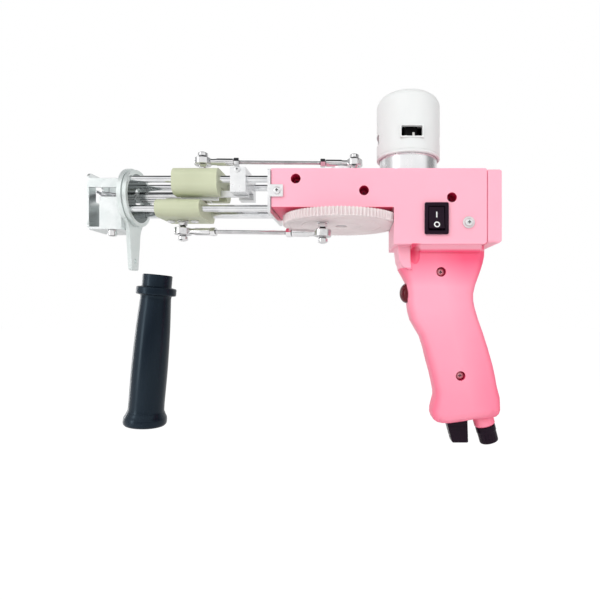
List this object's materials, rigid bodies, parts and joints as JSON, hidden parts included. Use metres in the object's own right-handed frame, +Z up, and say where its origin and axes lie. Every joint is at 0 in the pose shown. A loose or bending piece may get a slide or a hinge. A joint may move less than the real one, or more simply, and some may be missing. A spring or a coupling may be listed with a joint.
{
  "type": "handheld tufting machine",
  "caption": "Pistol-grip tufting machine: motor and large gear drive a needle slider and a cutter slider on guide rods, with a presser foot and a side grip.",
  "frame": {"origin": "middle of the pistol grip, in the plane where the two housing halves meet", "axes": "+Z up along the motor axis, -X towards the needle, -Y towards the switch side"},
  "size_m": [0.3716, 0.104, 0.3107],
  "materials": {
    "housing_pink": "satin moulded plastic",
    "cover_pink": "satin moulded plastic",
    "bright_steel": "ground and plated",
    "dark_steel": "hardened, dark",
    "zinc_plate": "zinc plated",
    "cast_aluminium": "machined casting",
    "white_nylon": "moulded",
    "cream_acetal": "moulded",
    "white_plastic": "moulded",
    "black_plastic": "moulded",
    "trigger_red": "glossy",
    "grip_rubber": "matt",
    "bearing_bronze": "turned"
  },
  "bodies": {
    "frame": {"housing_left": "housing_pink", "housing_right": "housing_pink", "rear_cover": "cover_pink", "housing_screw_1": "zinc_plate", "housing_screw_2": "zinc_plate", "housing_screw_3": "zinc_plate", "handle_screw_1": "zinc_plate", "handle_screw_2": "zinc_plate", "side_washer": "zinc_plate", "side_screw": "zinc_plate", "plate_screw_left": "zinc_plate", "plate_screw_right": "zinc_plate", "front_plate": "zinc_plate", "mid_bracket": "zinc_plate", "bracket_screw": "zinc_plate", "guide_plate": "zinc_plate", "switch_body": "black_plastic", "power_lead_sleeve": "black_plastic", "motor_can": "bright_steel", "guide_rod_1": "bright_steel", "guide_rod_2": "bright_steel", "guide_rod_3": "bright_steel", "guide_rod_4": "bright_steel", "motor_cap": "white_plastic", "motor_brush_plate": "dark_steel", "scissor_blade_fixed": "dark_steel", "upper_bearing": "bearing_bronze", "lower_bearing": "bearing_bronze", "front_flange": "cast_aluminium", "grip_bracket": "cast_aluminium", "side_grip": "grip_rubber"},
    "rocker": {"switch_rocker": "black_plastic"},
    "trigger": {"trigger_button": "trigger_red"},
    "knob": {"speed_knob": "black_plastic"},
    "drive": {"drive_gear": "white_nylon", "gear_shaft": "bright_steel", "crank_arm": "zinc_plate"},
    "rotor": {"motor_shaft": "bright_steel", "motor_pinion": "bright_steel"},
    "needle_carriage": {"lower_slider": "cream_acetal", "lower_slider_stud": "bright_steel", "clamp_screw_front": "zinc_plate", "clamp_screw_rear": "zinc_plate", "needle_bar": "bright_steel", "needle": "dark_steel"},
    "cutter_carriage": {"upper_slider": "cream_acetal", "upper_slider_stud": "bright_steel", "scissor_push_rod": "bright_steel"},
    "lower_tie": {"lower_tie_rod": "bright_steel", "lower_tie_rod_end_front": "bright_steel", "lower_tie_rod_end_rear": "bright_steel", "lower_crank_stud": "bright_steel"},
    "upper_tie": {"upper_tie_rod": "bright_steel", "upper_tie_rod_end_front": "bright_steel", "upper_tie_rod_end_rear": "bright_steel", "upper_crank_stud": "bright_steel"},
    "cutter_blade": {"scissor_blade_moving": "dark_steel"},
    "foot": {"presser_foot": "cast_aluminium", "foot_bolt": "bright_steel"}
  },
  "joints": [
    {"name": "rocker_tilt", "type": "hinge", "parent": "frame", "child": "rocker", "pos_m": [-0.0087, -0.0295, 0.0943], "axis": [1, 0, 0], "range_deg": [0, 14]},
    {"name": "trigger_press", "type": "slide", "parent": "frame", "child": "trigger", "axis": [1, 0, 0], "range_m": [0, 0.003], "stiffness_N_per_m": 400, "springref_m": -0.002},
    {"name": "knob_turn", "type": "hinge", "parent": "frame", "child": "knob", "pos_m": [0.0403, 0, -0.0854], "axis": [-0.2588, 0, 0.9659], "range_deg": [0, 270]},
    {"name": "gear_spin", "type": "hinge", "parent": "frame", "child": "drive", "pos_m": [-0.0888, 0, 0.0932], "axis": [0, 0, 1], "continuous": true},
    {"name": "motor_spin", "type": "hinge", "parent": "frame", "child": "rotor", "pos_m": [-0.0288, 0, 0.092], "axis": [0, 0, 1], "continuous": true},
    {"name": "needle_slide", "type": "slide", "parent": "frame", "child": "needle_carriage", "axis": [1, 0, 0], "range_m": [-0.0107, 0.0413]},
    {"name": "cutter_slide", "type": "slide", "parent": "frame", "child": "cutter_carriage", "axis": [1, 0, 0], "range_m": [-0.0318, 0.0083]},
    {"name": "lower_tie_swing", "type": "hinge", "parent": "needle_carriage", "child": "lower_tie", "pos_m": [-0.2313, 0, 0.08865], "axis": [0, 0, 1], "range_deg": [-2.2, 21]},
    {"name": "upper_tie_swing", "type": "hinge", "parent": "cutter_carriage", "child": "upper_tie", "pos_m": [-0.2133, 0, 0.1512], "axis": [0, 0, 1], "range_deg": [-15.2, 1.6]},
    {"name": "blade_pivot", "type": "hinge", "parent": "frame", "child": "cutter_blade", "pos_m": [-0.297, 0.0037, 0.1185], "axis": [0, -1, 0], "range_deg": [-2.8, 10.2]},
    {"name": "foot_slide", "type": "slide", "parent": "frame", "child": "foot", "axis": [1, 0, 0], "range_m": [-0.008, 0]}
  ],
  "couplings": [
    {"joint": "motor_spin", "follows": "gear_spin", "ratio": -5.6667},
    {"joint": "cutter_slide", "follows": "needle_slide", "ratio": -0.76923},
    {"joint": "blade_pivot", "follows": "needle_slide", "rad_per_m": 4.2},
    {"joint": "upper_tie_swing", "follows": "lower_tie_swing", "ratio": -0.72}
  ]
}
